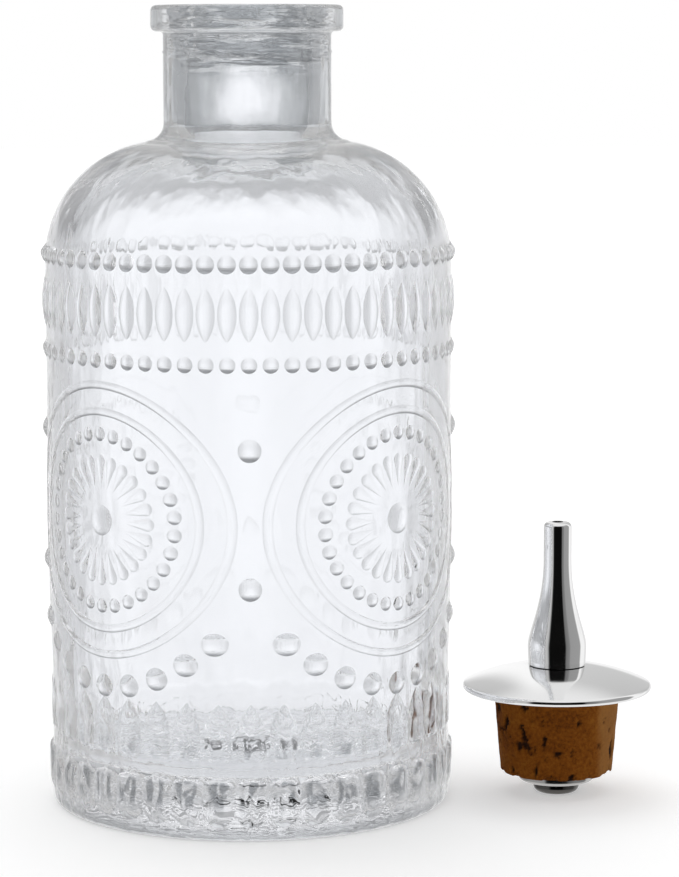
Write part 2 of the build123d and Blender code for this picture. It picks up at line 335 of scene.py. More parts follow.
@dataclass(frozen=True)
class Relief:
    """The raised pattern of the bottle's wall, as a height over the plain wall.

    Its formulas take arrays for the mesh and wires for the glass.
    """

    wall_radius: float = 32.5 * MM
    top: float = 91.4 * MM
    row_count: int = 62
    bead_height: float = 89.0 * MM
    bead_size: Point = (2.85 * MM, 0.75 * MM)
    lens_height: float = 81.4 * MM
    lens_size: Triple = (2.95 * MM, 8.2 * MM, 0.55 * MM)
    low_bead_height: float = 73.8 * MM
    low_bead_size: Point = (2.5 * MM, 0.55 * MM)
    medallion_count: int = 4
    medallion_height: float = 49.0 * MM
    ring_radii: Point = (21.0 * MM, 16.9 * MM)
    ring_width: float = 1.3 * MM
    ring_rise: float = 0.2 * MM
    ring_bead_count: int = 30
    ring_bead_radius: float = 13.4 * MM
    ring_bead_size: Point = (2.25 * MM, 0.44 * MM)
    petal_count: int = 24
    petal_reach: Point = (4.9 * MM, 10.2 * MM)
    petal_width: float = 2.1 * MM
    petal_rise: float = 0.25 * MM
    boss_size: Point = (4.8 * MM, 0.6 * MM)
    gap_bead_heights: Point = (60.8 * MM, 39.5 * MM)
    gap_bead_size: Point = (3.6 * MM, 0.8 * MM)
    swag_radius: float = 26.0 * MM
    swag_count: int = 9
    swag_step: float = 11.5
    swag_end: float = 100.0
    swag_bead_size: Point = (3.6 * MM, 0.7 * MM)
    flute_count: int = 40
    lancet_reach: Point = (12.6 * MM, 21.6 * MM)
    lancet_foot: float = 0.5 * MM
    lancet_width: float = 4.4 * MM
    lancet_rise: float = 0.3 * MM
    tongue_reach: Point = (2.4 * MM, 9.9 * MM)
    tongue_width: float = 4.9 * MM
    tongue_rise: float = 0.6 * MM
    least_share: float = 1e-3
    least_width: float = 1e-5

    def dome(self, across: Values, up: Values, size: Point) -> Values:
        """The height of a bead, from distances round and up from its middle and its diameter and rise."""
        steep = size[1] / (size[0] / 2) ** 2
        return np.maximum(size[1] - (across * across + up * up) * steep, 0.0)

    def rows(self, angle: Values, height: Values) -> Values:
        """The three rows round the top of the wall.

        Args:
            angle: angles round the bottle in radians.
            height: heights above the table.

        Returns:
            The rise at each place.
        """
        across = folded(angle, math.tau / self.row_count) * self.wall_radius
        beads = self.dome(across, height - self.bead_height, self.bead_size)
        low_beads = self.dome(across, height - self.low_bead_height, self.low_bead_size)
        width, length, rise = self.lens_size
        up = (height - self.lens_height) / (length / 2)
        along = np.maximum(1.0 - up * up, self.least_share)
        side = across / (np.sqrt(along * np.sqrt(along)) * (width / 2))
        lens = np.maximum((1.0 - side * side) * along * rise, 0.0)
        return np.maximum(np.maximum(beads, low_beads), lens)

    def medallions(self, angle: Values, height: Values) -> Values:
        """The medallions: two rings, a ring of beads, petals and a boss, with a swag of beads below.

        Args:
            angle: angles round the bottle in radians.
            height: heights above the table.

        Returns:
            The rise at each place.
        """
        offset = folded(angle + math.pi / self.medallion_count, math.tau / self.medallion_count)
        across = np.sin(offset) * self.wall_radius
        up = height - self.medallion_height
        reach = np.sqrt(across * across + up * up)
        turn = np.arctan2(across, -up)
        relief = self.dome(across, up, self.boss_size)
        steep = self.ring_rise / (self.ring_width / 2) ** 2
        for radius in self.ring_radii:
            beside = reach - radius
            relief = np.maximum(relief, self.ring_rise - beside * beside * steep)
        side = folded(turn, math.tau / self.ring_bead_count) * self.ring_bead_radius
        relief = np.maximum(relief, self.dome(side, reach - self.ring_bead_radius, self.ring_bead_size))
        side = folded(turn, math.tau / self.petal_count) * reach
        inner, outer = self.petal_reach
        tip = outer - self.petal_width / 2
        share = np.minimum(np.maximum((reach - inner) / (tip - inner), self.least_share), 1.0)
        beyond = np.maximum(reach - tip, 0.0)
        flat = (side * side / share + beyond * beyond) / (self.petal_width / 2) ** 2
        relief = np.maximum(relief, (share - flat) * self.petal_rise)
        step = math.radians(self.swag_step)
        limit = (self.swag_count - 1) / 2 * step
        nearest = folded(turn, step)
        past = np.maximum(np.sqrt(turn * turn) - limit - step / 2, 0.0)
        side = nearest * self.swag_radius + past * self.swag_end
        return np.maximum(relief, self.dome(side, reach - self.swag_radius, self.swag_bead_size))

    def gap_beads(self, angle: Values, height: Values) -> Values:
        """The two beads in each gap between medallions, at an angle in radians and a height."""
        side = folded(angle, math.tau / self.medallion_count) * self.wall_radius
        return np.maximum(*(self.dome(side, height - up, self.gap_bead_size) for up in self.gap_bead_heights))

    def flutes(self, angle: Values, height: Values) -> Values:
        """The pointed flutes above the foot and the tongues on it.

        Args:
            angle: angles round the bottle in radians.
            height: heights above the table.

        Returns:
            The rise at each place.
        """
        across = folded(angle, math.tau / self.flute_count) * self.wall_radius
        low, high = self.lancet_reach
        point = np.minimum(np.maximum((high - height) / self.lancet_width, 0.0), 1.0)
        foot = np.minimum(np.maximum((height - low) / self.lancet_foot, 0.0), 1.0)
        half = np.maximum(point * (2.0 - point) * (self.lancet_width / 2), self.least_width)
        side = np.sqrt(across * across) / half
        bulge = np.maximum(1.0 - side * side, 0.0)
        lancet = bulge * foot * np.minimum(point * 2.0, 1.0) * self.lancet_rise
        low, high = self.tongue_reach
        half = self.tongue_width / 2
        past = np.maximum(low + half - height, np.maximum(height - high + half / 2, 0.0) * 2.0)
        past = np.maximum(past, 0.0)
        bulge = np.maximum(1.0 - (across * across + past * past) / half**2, 0.0)
        return np.maximum(lancet, bulge * self.tongue_rise)

    def at(self, angle: Values, height: Values) -> Values:
        """The whole pattern's rise over the wall, at an angle in radians and a height."""
        high = np.maximum(self.rows(angle, height), self.medallions(angle, height))
        return np.maximum(high, np.maximum(self.gap_beads(angle, height), self.flutes(angle, height)))


@dataclass(frozen=True)
class PressedGlass:
    """Clear pressed glass with waves in its surface and a cool tint, greyed in places by painted shade."""

    tint: Colour = (0.985, 0.99, 1.0)
    refraction: float = 1.5
    clearness: float = 0.965
    trapped_light: float = 0.26
    trapped_bounces: float = 3.5
    roughness: float = 0.0
    wave_scale: float = 90.0
    wave_detail: float = 2.5
    wave_stretch: Triple = (1.0, 1.0, 0.35)
    wave_depth: float = 0.12 * MM
    low_boost: float = 1.0
    low_reach: Point = (16.0 * MM, 34.0 * MM)
    high_boost: float = 1.0
    high_reach: Point = (104.0 * MM, 112.0 * MM)
    swirl_scale: float = 210.0
    swirl_twist: float = 2.4
    swirl_depth: float = 0.0
    swirl_reach: Point = (10.0 * MM, 20.0 * MM)
    ripple_scale: float = 300.0
    ripple_stretch: Triple = (0.5, 0.5, 2.4)
    ripple_depth: float = 0.0
    ripple_reach: Point = (117.0 * MM, 121.0 * MM)
    glint_reach: Point = (116.2 * MM, 118.0 * MM)
    glint_tones: Point = (0.49, 0.56)
    # Painted shade: greys in the tint stand in for the dark studio seen through the neck, its edges, the lip
    # and the heel, with a clear spot left in the neck's middle.
    neck_shade: Colour = (0.64, 0.655, 0.67)
    deep_shade: Colour = (0.42, 0.44, 0.46)
    neck_shade_reach: Point = (101.5 * MM, 104.5 * MM)
    unshaded_spot: Triple = (0.75, 113.0 * MM, 6.0 * MM)
    unshaded_edge: Point = (0.3, 1.2)
    wisp_scale: float = 230.0
    wisp_shares: Point = (1.3, 0.3)
    edge_shade_reach: Point = (1.12, 1.32)
    heel_shade_reach: Point = (1.0 * MM, 3.0 * MM)
    heel_shade_share: float = 0.7
    # Painted shade on the relief's downward slopes and in the foot's arches.
    deepest_shade: Colour = (0.27, 0.285, 0.30)
    underside_shade_reach: Point = (-0.52, -0.22)
    underside_shade_share: float = 0.85
    streak_scale: float = 400.0
    streak_stretch: Triple = (1.0, 1.0, 0.4)
    streak_twist: float = 2.2
    streak_tones: Point = (0.40, 0.58)
    arch_bottom: Point = (3.5 * MM, 6.5 * MM)
    arch_top: Point = (14.0 * MM, 17.0 * MM)
    arch_rises: Point = (0.12 * MM, 0.45 * MM)
    arch_wisps: float = 0.4 * MM
    entering: float = 0.9
    leaving: float = 0.4
    shoulder: Point = (87.6 * MM, 19.1 * MM)

    def material(self, name: str, relief: Relief | None = None) -> bpy.types.Material:
        """Makes the glass.

        Args:
            name: the material's name.
            relief: the pattern that stands out of the wall, if there is one.

        Returns:
            The material.
        """
        shader = Shader(bpy.data.materials.new(name))
        place = x, y, z = shader.place()
        boost = shader.eased(z, *self.low_reach, self.low_boost, 1.0)
        boost = boost * shader.eased(z, *self.high_reach, 1.0, self.high_boost)
        rise = shader.noise(self.wave_scale, self.wave_detail, self.wave_stretch) * boost * self.wave_depth
        if self.swirl_depth:
            swirls = shader.noise(self.swirl_scale, 0.0, self.wave_stretch, Distortion=self.swirl_twist)
            rise = rise + swirls * shader.eased(z, *self.swirl_reach, self.swirl_depth, 0.0)
        if self.ripple_depth:
            rise = rise + self.ripples(shader) * shader.eased(z, *self.ripple_reach, 0.0, self.ripple_depth)
        colour = self.shaded_tint(shader, place, relief)
        if relief is None:
            bump = shader.add("Bump", {"Height": rise, "Distance": 1.0, "Strength": 1.0})
        else:
            side = 1.0 - shader.add("NewGeometry", output="Backfacing") * 2.0
            share = side * ((self.entering - self.leaving) / 2) + (self.entering + self.leaving) / 2
            height = (rise + relief.at(np.arctan2(x, -y), z) * share) * side
            plain = self.plain_wall(shader, place, side)
            bump = shader.add("Bump", {"Height": height, "Distance": 1.0, "Strength": 1.0, "Normal": plain})
            # Painted shade: the tint darkens where the relief's outer face slopes downwards.
            slope = shader.add("SeparateXYZ", {0: bump}, 2)
            under = shader.eased(slope, *self.underside_shade_reach, self.underside_shade_share, 0.0) * (side * 0.5 + 0.5)
            colour = shader.mixed(under, colour, self.deepest_shade)
        # Light still in the wall after its last mirrored bounce would go black, so it glows.
        bounces = shader.add("LightPath", output="Glossy Depth")
        trapped = shader.math("GREATER_THAN", bounces, self.trapped_bounces)
        inputs = {
            "Emission Color": WHITE,
            "Emission Strength": trapped * self.trapped_light,
            "Base Color": colour,
            "Roughness": self.roughness,
            "IOR": self.refraction,
            "Transmission Weight": self.clearness,
            "Normal": bump,
        }
        return shader.surface(inputs)

    def ripples(self, shader: Shader) -> Wire:
        """Works out the fine ripples inside the lip."""
        return shader.noise(self.ripple_scale, 2.0, self.ripple_stretch)

    def shaded_tint(self, shader: Shader, place: Place, relief: Relief | None) -> Wire:
        """Works out the glass's tint: clear, but greyed by painted shade in the neck, towards its edges, in
        the lip, at the heel and in the foot's arches, with painted glints in the lip.

        Args:
            shader: the shader that the nodes go into.
            place: the place along X, Y and Z.
            relief: the pattern whose arches are greyed by painted shade, if there is one.

        Returns:
            The tint.
        """
        x, y, z = place
        angle = np.arctan2(x, -y)
        # Painted shade greys the neck around a clear spot in its middle and darkens it towards its edges.
        width, middle, height = self.unshaded_spot
        spot_wisps, edge_wisps = self.wisp_shares
        turn = folded(angle, math.pi)
        aside = turn / width
        up = (z - middle) / height
        wisps = shader.noise(self.wisp_scale, 3.0) - 0.5
        away = np.sqrt(aside * aside + up * up) + wisps * spot_wisps
        grey = shader.eased(away, *self.unshaded_edge) * shader.eased(z, *self.neck_shade_reach)
        dark = shader.eased(abs(turn) + wisps * edge_wisps, *self.edge_shade_reach)
        # In the lip, painted shade darkens the band, and painted glints clear it where the ripples peak.
        if self.ripple_depth:
            dark = shader.eased(z, *self.glint_reach)
            grey = grey * (1.0 - shader.eased(self.ripples(shader), *self.glint_tones) * dark)
        colour = shader.mixed(grey, self.tint, shader.mixed(dark, self.neck_shade, self.deep_shade))
        # Painted shade darkens the heel.
        heel = shader.eased(z, *self.heel_shade_reach, self.heel_shade_share, 0.0)
        colour = shader.mixed(heel, colour, self.deep_shade)
        if relief is None:
            return colour
        # Painted shade greys the foot's arches on the outer face, broken up by streaks.
        streaks = shader.noise(self.streak_scale, 1.0, self.streak_stretch, Distortion=self.streak_twist)
        arches = relief.flutes(angle, z) + wisps * self.arch_wisps
        band = shader.eased(z, *self.arch_bottom) * shader.eased(z, *self.arch_top, 1.0, 0.0)
        band = band * (1.0 - shader.add("NewGeometry", output="Backfacing"))
        grey = shader.eased(arches, *self.arch_rises) * band * shader.eased(streaks, *self.streak_tones)
        return shader.mixed(grey, colour, self.deepest_shade)

    def plain_wall(self, shader: Shader, place: Place, side: Wire) -> Wire:
        """Works out which way the wall faces where it has no pattern.

        Args:
            shader: the shader that the nodes go into.
            place: the place along X, Y and Z.
            side: 1 for light from outside and -1 for light from within the glass.

        Returns:
            The wall's normal, facing the light.
        """
        x, y, z = place[0] * side, place[1] * side, place[2]
        reach = np.sqrt(x * x + y * y)
        climb = np.maximum((z - self.shoulder[0]) / self.shoulder[1], 0.0) * side
        away = shader.add("CombineXYZ", {0: x / reach, 1: y / reach, 2: climb})
        turned = {"vector_type": "NORMAL", "convert_from": "OBJECT", "convert_to": "WORLD"}
        return shader.add("VectorTransform", {0: away}, **turned)


@dataclass(frozen=True)
class PolishedChrome:
    """Polished chrome plate with faint smears and turning marks."""

    name: str = "polished_chrome"
    colour: Colour = (0.93, 0.93, 0.93)
    roughness: float = 0.05
    smear_scale: float = 260.0
    smear_tones: Point = (0.35, 0.75)
    mark_depth: float = 0.0015 * MM

    def material(self) -> bpy.types.Material:
        """Makes the chrome.

        Returns:
            The material.
        """
        shader = Shader(bpy.data.materials.new(self.name))
        smears = shader.noise(self.smear_scale, 3.0)
        low, high = self.smear_tones
        smooth = self.roughness
        rough = shader.add("MapRange", {0: smears, 1: low, 2: high, 3: smooth, 4: smooth * 2.0})
        bump = shader.add("Bump", {"Height": smears, "Distance": self.mark_depth, "Strength": 1.0})
        return shader.surface({"Base Color": self.colour, "Metallic": 1.0, "Roughness": rough, "Normal": bump})


@dataclass(frozen=True)
class NaturalCork:
    """Natural cork: warm brown and finely grained, with dark pits, and painted light on its side towards +X.
    """

    tones: tuple[tuple[float, Colour], ...] = (
        (0.35, (0.14, 0.038, 0.004)),
        (0.47, (0.25, 0.072, 0.006)),
        (0.63, (0.36, 0.125, 0.014)),
    )
    # Painted light: the side towards +X is made lighter.
    lit_side: Colour = (0.52, 0.25, 0.075)
    lit_side_share: float = 0.55
    lit_side_reach: Point = (55.6 * MM, 57.0 * MM)
    lit_side_wander: float = 2.0 * MM
    pit: Colour = (0.022, 0.007, 0.003)
    grain_scale: float = 1900.0
    grain_roughness: float = 0.7
    grain_share: float = 0.6
    grain_depth: float = 0.25 * MM
    grain_strength: float = 0.7
    patch_scale: float = 160.0
    patch_share: float = 0.4
    roughness: float = 0.85
    shine: float = 0.1

    def material(self) -> bpy.types.Material:
        """Makes the cork.

        Returns:
            The material.
        """
        shader = Shader(bpy.data.materials.new("natural_cork"))
        grain = shader.noise(self.grain_scale, 4.0, Roughness=self.grain_roughness)
        patches = shader.noise(self.patch_scale, 2.0)
        colour = shader.ramp(grain * self.grain_share + patches * self.patch_share, self.tones)
        # Painted light: the cork grows lighter on its side towards +X, as if lit from there.
        aside = shader.place()[0] + (patches - 0.5) * self.lit_side_wander
        colour = shader.mixed(shader.eased(aside, *self.lit_side_reach, 0.0, self.lit_side_share), colour, self.lit_side)
        pit = shader.add("Attribute", output="Fac", attribute_name="pit")
        bump = {"Height": grain, "Distance": self.grain_depth, "Strength": self.grain_strength}
        inputs = {
            "Base Color": shader.mixed(pit, colour, self.pit),
            "Roughness": self.roughness,
            "Specular IOR Level": self.shine,
            "Normal": shader.add("Bump", bump),
        }
        return shader.surface(inputs)


@dataclass
class GlassBottle:
    """The pressed glass bottle as one closed skin, outside and inside."""

    height: float = 128.0 * MM
    body_radius: float = 32.5 * MM
    wall: float = 3.2 * MM
    base_thickness: float = 9.0 * MM
    heel_rounding: float = 1.5 * MM
    push_up: Point = (22.0 * MM, 1.6 * MM)
    foot_radius: float = 32.2 * MM
    waist_radius: float = 32.1 * MM
    foot_top: float = 10.4 * MM
    waist_reach: Point = (12.2 * MM, 20.9 * MM)
    wall_bottom: float = 35.0 * MM
    shoulder_bottom: float = 87.6 * MM
    shoulder_rise: float = 19.0 * MM
    shoulder_end: float = 81.0
    neck_radius: float = 13.4 * MM
    neck_fillet: float = 2.8 * MM
    neck_fillet_start: float = 265.0
    mould_line: float = 120.6 * MM
    mould_rise: float = 0.14 * MM
    lip_radius: float = 15.35 * MM
    lip_thickness: float = 4.2 * MM
    lip_rounding: float = 0.9 * MM
    lip_fillet: float = 0.5 * MM
    mouth_radius: float = 9.65 * MM
    mouth_rounding: float = 0.8 * MM
    cavity_rounding: float = 4.0 * MM
    throat_rounding: float = 2.0 * MM
    columns: int = 310
    sectors: int = 10
    row_step: float = 0.55 * MM
    relief: Relief = Relief()
    outer_glass: PressedGlass = PressedGlass(
        low_boost=2.0,
        high_boost=2.5,
        swirl_depth=0.4 * MM,
        neck_shade=(0.76, 0.77, 0.77),
    )
    inner_glass: PressedGlass = PressedGlass(
        roughness=0.05,
        wave_scale=150.0,
        wave_depth=0.36 * MM,
        low_boost=2.2,
        high_boost=2.5,
        ripple_depth=0.7 * MM,
    )

    def wall_radius_at(self, height: float) -> float:
        """The plain wall's radius at a height.

        Args:
            height: the height above the table.

        Returns:
            The radius without the relief.
        """
        if height > self.shoulder_bottom:
            share = min((height - self.shoulder_bottom) / self.shoulder_rise, 1.0)
            return self.neck_radius + (self.body_radius - self.neck_radius) * math.sqrt(1 - share**2)
        stops = [self.foot_top, *self.waist_reach, self.wall_bottom]
        radii = [self.foot_radius, self.waist_radius, self.waist_radius, self.body_radius]
        return float(np.interp(height, stops, radii))

    def outside_low(self) -> list[Point]:
        """The outline from the push-up's middle out to the top of the relief.

        Returns:
            Its points.
        """
        heel = self.heel_rounding
        flat = self.foot_radius - heel
        radius, rise = self.push_up
        half_angle = 2 * math.atan2(rise, radius)
        sphere = radius / math.sin(half_angle)
        rows = round((self.relief.top - heel) / self.row_step)
        heights = [heel + (self.relief.top - heel) * row / rows for row in range(rows + 1)]
        return joined(
            arc((0.0, rise - sphere), sphere, 90.0, 90.0 - math.degrees(half_angle), 8),
            run((radius, 0.0), (flat, 0.0), 4),
            arc((flat, heel), heel, -90.0, 0.0, 6),
            [(self.wall_radius_at(height), height) for height in heights],
        )

    def outside_high(self) -> list[Point]:
        """The outline from the top of the relief up the shoulder and neck and over the lip.

        Returns:
            Its points.
        """
        neck, line, ridge = self.neck_radius, self.mould_line, self.mould_rise
        bottom, rise = self.shoulder_bottom, self.shoulder_rise
        start = math.degrees(math.asin((self.relief.top - bottom) / rise))
        fillet, corner = self.neck_fillet, self.lip_fillet
        fillet_at = bottom + rise + fillet
        lip_bottom = self.height - self.lip_thickness
        rounding, rim = self.lip_rounding, self.mouth_rounding
        lip = self.lip_radius - rounding
        return joined(
            arc((neck, bottom), (self.body_radius - neck, rise), start, self.shoulder_end, 30),
            arc((neck + fillet, fillet_at), fillet, self.neck_fillet_start, 180.0, 8),
            run((neck, fillet_at), (neck, line - ridge * 2), 5),
            [(neck + ridge, line)],
            run((neck, line + ridge * 2), (neck, lip_bottom - corner), 2),
            arc((neck + corner, lip_bottom - corner), corner, 180.0, 90.0, 3),
            arc((lip, lip_bottom + rounding), rounding, -90.0, 0.0, 5),
            arc((lip, self.height - rounding), rounding, 0.0, 90.0, 5),
            arc((self.mouth_radius + rim, self.height - rim), rim, 90.0, 180.0, 4),
        )

    def inside(self) -> list[Point]:
        """The outline from the mouth down the inside to the middle of the cavity's floor.

        Returns:
            Its points.
        """
        inner = self.body_radius - self.wall
        mouth, floor = self.mouth_radius, self.base_thickness
        bottom, rise = self.shoulder_bottom, self.shoulder_rise - self.wall
        start, corner = self.throat_rounding, self.cavity_rounding
        throat = bottom + rise + start
        return joined(
            run((mouth, self.height - self.mouth_rounding), (mouth, throat), 8),
            arc((mouth + start, throat), start, 180.0, 270.0, 5),
            arc((self.neck_radius, bottom), (inner - self.neck_radius, rise), 90.0, 0.0, 24),
            run((inner, bottom), (inner, floor + corner), 10),
            arc((inner - corner, floor + corner), corner, 0.0, -90.0, 6),
            run((inner - corner, floor), (0.0, floor), 5),
        )

    def build(self) -> None:
        """Builds the bottle, whose relief shapes both its mesh and its glass."""
        outline = joined(self.outside_low(), self.outside_high(), self.inside())
        piece = finished(spun(outline, self.columns, self.sectors), "pressed_glass_bottle")
        data = piece.data
        places = np.array([vert.co for vert in data.vertices])
        radii = np.hypot(places[:, 0], places[:, 1])
        outer = radii > self.waist_radius - self.wall / 2
        angles = np.arctan2(places[:, 0], -places[:, 1])
        rise = np.where(outer, self.relief.at(angles, places[:, 2]), 0.0)
        places[:, :2] *= (1.0 + rise / np.maximum(radii, self.mouth_radius))[:, None]
        data.vertices.foreach_set("co", places.ravel())
        data.materials.append(self.outer_glass.material("smooth_glass"))
        data.materials.append(self.outer_glass.material("patterned_glass", self.relief))
        data.materials.append(self.inner_glass.material("wavy_glass"))
        middles = np.array([face.center for face in data.polygons])
        heights = middles[:, 2]
        wall = np.array([self.wall_radius_at(height) for height in heights])
        within = np.hypot(middles[:, 0], middles[:, 1]) < wall - self.wall / 2
        within &= heights > self.base_thickness - self.wall / 2
        patterned = ~within & (heights > self.heel_rounding) & (heights < self.relief.top)
        data.polygons.foreach_set("material_index", (patterned * 1 + within * 2).astype(np.int32))
        data.update()
        placed(piece, Body.BOTTLE, "glass_bottle")


@dataclass
class Stopper:
    """The stopper's metal pieces and its cork, about an axis beside the bottle.

    The cork's noises, wear and clusters of pits are laid out in millimetres and degrees.
    """

    away: float = 50.0 * MM
    nut: Point = (3.75 * MM, 2.0 * MM)
    nut_rounding: float = 1.1 * MM
    washer: Triple = (6.15 * MM, 2.0 * MM, 3.5 * MM)
    washer_bevel: float = 0.6 * MM
    washer_edge: float = 0.15 * MM
    cork_radii: Point = (9.2 * MM, 10.3 * MM)
    cork_reach: Point = (3.6 * MM, 17.0 * MM)
    cork_rounding: float = 0.4 * MM
    cork_skin: float = 0.7 * MM
    wear: Triple = (0.04, 0.10, 0.32)
    lump_scale: float = 0.35
    chip_scale: float = 0.45
    chip_offset: Triple = (2.0, 9.0, 0.0)
    chip_reach: float = 0.5 * MM
    chip_height: float = 2.2 * MM
    pit_clusters: tuple[tuple[float, float, float, float], ...] = (
        (-38.0, 9.5, 30.0, 6.0),
        (-75.0, 12.0, 22.0, 6.0),
        (12.0, 4.6, 26.0, 1.8),
        (64.0, 8.0, 16.0, 5.0),
        (150.0, 11.0, 30.0, 5.0),
        (-140.0, 6.5, 26.0, 4.0),
    )
    pit_scales: Triple = (0.85, 0.42, 2.1)
    pit_offset: Triple = (7.0, 3.0, 1.0)
    pit_shares: Point = (0.35, 0.42)
    pit_level: float = 0.52
    pit_steepness: float = 6.0
    flange_radius: float = 15.4 * MM
    flange_reach: Triple = (17.1 * MM, 18.25 * MM, 21.35 * MM)
    flange_lean: float = 66.0
    bore: float = 2.05 * MM
    nozzle_bottom: float = 21.45 * MM
    nozzle_length: float = 23.2 * MM
    nozzle_base_radius: float = 4.65 * MM
    nozzle_skirt: float = 0.27 * MM
    nozzle_belly: Point = (4.8 * MM, 2.8 * MM)
    nozzle_stem: Point = (2.28 * MM, 17.0 * MM)
    nozzle_pulls: Point = (2.4 * MM, 7.4 * MM)
    nozzle_tip_rounding: float = 0.8 * MM
    nozzle_bore: float = 0.9 * MM
    socket_clearance: float = 0.02 * MM
    socket_depth: float = 7.2 * MM
    sharp_angle: float = 40.0

    def turned(self, outline: Sequence[Point], steps: int, sectors: int) -> bmesh.types.BMesh:
        """Closes an outline of radius and height and turns it about the stopper's axis."""
        return spun(joined(outline, outline[:1]), steps, sectors, self.away)

    def metal(
        self, outline: Sequence[Point], name: str, node: str, body: Body, finish: bpy.types.Material
    ) -> None:
        """Builds one turned metal piece.

        Args:
            outline: its open outline as radius and height.
            name: the piece's name.
            node: the frame's node that it replaces.
            body: the body that it rides on.
            finish: its finish.
        """
        piece = finished(self.turned(outline, 120, 4), name)
        piece.data.materials.append(finish)
        piece.data.set_sharp_from_angle(angle=math.radians(self.sharp_angle))
        placed(piece, body, node)

    def nut_outline(self) -> list[Point]:
        """The nut's outline.

        Returns:
            Its points.
        """
        radius, top = self.nut
        rounding = self.nut_rounding
        return joined(
            run((self.bore, 0.0), (radius - rounding, 0.0), 2),
            arc((radius - rounding, rounding), rounding, -90.0, 0.0, 10),
            run((radius, top), (self.bore, top), 2),
        )

    def washer_outline(self) -> list[Point]:
        """The washer's outline.

        Returns:
            Its points.
        """
        radius, low, high = self.washer
        bevel = self.washer_bevel
        return joined(
            run((self.bore, low), (radius - bevel, low), 3),
            arc((radius - bevel, low + bevel), bevel, -90.0, 0.0, 6),
            run((radius, low + bevel), (radius, high - self.washer_edge), 2),
            run((radius - self.washer_edge, high), (self.bore, high), 2),
        )

    def flange_outline(self) -> list[Point]:
        """The flange's outline: a flat underside, a thin round rim and a dome.

        Returns:
            Its points.
        """
        low, rim, top = self.flange_reach
        half = (rim - low) / 2
        around = arc((self.flange_radius - half, low + half), half, -90.0, self.flange_lean, 14)
        radius = around[-1][0]
        rise = top - around[-1][1]
        sphere = (radius**2 + rise**2) / (2 * rise)
        edge, hole = (math.degrees(math.acos(reach / sphere)) for reach in (radius, self.bore))
        return joined(
            run((self.bore, low), (self.flange_radius - half, low), 4),
            around,
            arc((0.0, top - sphere), sphere, edge, hole, 40),
        )

    def nozzle_outline(self) -> list[Point]:
        """The nozzle's outline: a round belly drawn up into a slim stem.

        Returns:
            Its points.
        """
        foot = self.nozzle_bottom
        base = (self.nozzle_base_radius, foot - self.nozzle_skirt)
        belly_radius, belly_up = self.nozzle_belly
        stem, stem_up = self.nozzle_stem
        belly_at, stem_at, tip = foot + belly_up, foot + stem_up, foot + self.nozzle_length
        pull_up, pull_down = self.nozzle_pulls
        rounding = self.nozzle_tip_rounding
        socket = self.bore + self.socket_clearance
        socket_top = foot + self.socket_depth
        belly = (belly_radius, belly_at)
        return joined(
            run((socket, foot), base, 3),
            bow([base, (belly_radius, foot + belly_up / 2), belly], 8),
            bow([belly, (belly_radius, belly_at + pull_up), (stem, stem_at - pull_down), (stem, stem_at)], 32),
            run((stem, stem_at), (stem, tip - rounding), 4),
            arc((stem - rounding, tip - rounding), rounding, 0.0, 90.0, 8),
            run((self.nozzle_bore, tip), (self.nozzle_bore, socket_top), 4),
            run((socket, socket_top), (socket, foot), 4),
        )

    def pit_depth(self, where: Vector) -> float:
        """How deep the cork is pitted at a place.

        Args:
            where: the place in millimetres from the foot of the stopper's axis.

        Returns:
            The depth, from 0 on the plain surface to 1 in a pit.
        """
        turn = math.degrees(math.atan2(where.x, -where.y))
        near = 0.0
        for middle, height, spread, rise in self.pit_clusters:
            aside = (turn - middle + 180.0) % 360.0 - 180.0
            near = max(near, 1.0 - math.hypot(aside / spread, (where.z - height) / rise))
        wide, tall, fine = self.pit_scales
        grain = noise.noise(Vector((where.x * wide, where.y * wide, where.z * tall)) + Vector(self.pit_offset))
        fine_share, near_share = self.pit_shares
        depth = grain + fine_share * noise.noise(where * fine) + near_share * near - self.pit_level
        return min(max(depth * self.pit_steepness, 0.0), 1.0)

    def cork(self) -> None:
        """Builds the cork, with its ragged lower edge and its pits."""
        low, high = self.cork_reach
        bottom, top = self.cork_radii
        edge = self.cork_rounding
        outline = joined(
            run((self.bore, low), (bottom - edge, low), 12),
            arc((bottom - edge, low + edge), edge, -90.0, 0.0, 3),
            run((bottom, low + edge), (top, high), 44),
            run((top, high), (self.bore, high), 4),
        )
        mesh = self.turned(outline, 240, 6)
        plain, lumpy, pitted = self.wear
        pits = []
        for vert in mesh.verts:
            where = (vert.co - Vector((self.away, 0.0, 0.0))) / MM
            out = Vector((where.x, where.y, 0.0))
            outer = out.length > (bottom - self.cork_skin) / MM
            pits.append(self.pit_depth(where) if outer else 0.0)
            if outer:
                lumps = abs(noise.fractal(where * self.lump_scale, 1.0, 2.0, 3))
                vert.co -= out.normalized() * (plain + lumpy * lumps + pitted * pits[-1]) * MM
                chip = noise.noise(where * self.chip_scale + Vector(self.chip_offset))
                if vert.co.z < low + self.chip_reach and chip > 0.0:
                    vert.co.z += chip * self.chip_height
        piece = finished(mesh, "tapered_cork")
        piece.data.attributes.new("pit", "FLOAT", "POINT").data.foreach_set("value", pits)
        piece.data.materials.append(NaturalCork().material())
        placed(piece, Body.STOPPER, "cork")

    def build(self, nodes: dict[str, bpy.types.Object]) -> None:
        """Builds the stopper's pieces and dresses the tube that stays.

        Args:
            nodes: the frame's nodes by name.
        """
        chrome = PolishedChrome().material()
        steel = PolishedChrome("brushed_steel", (0.50, 0.49, 0.48), 0.10).material()
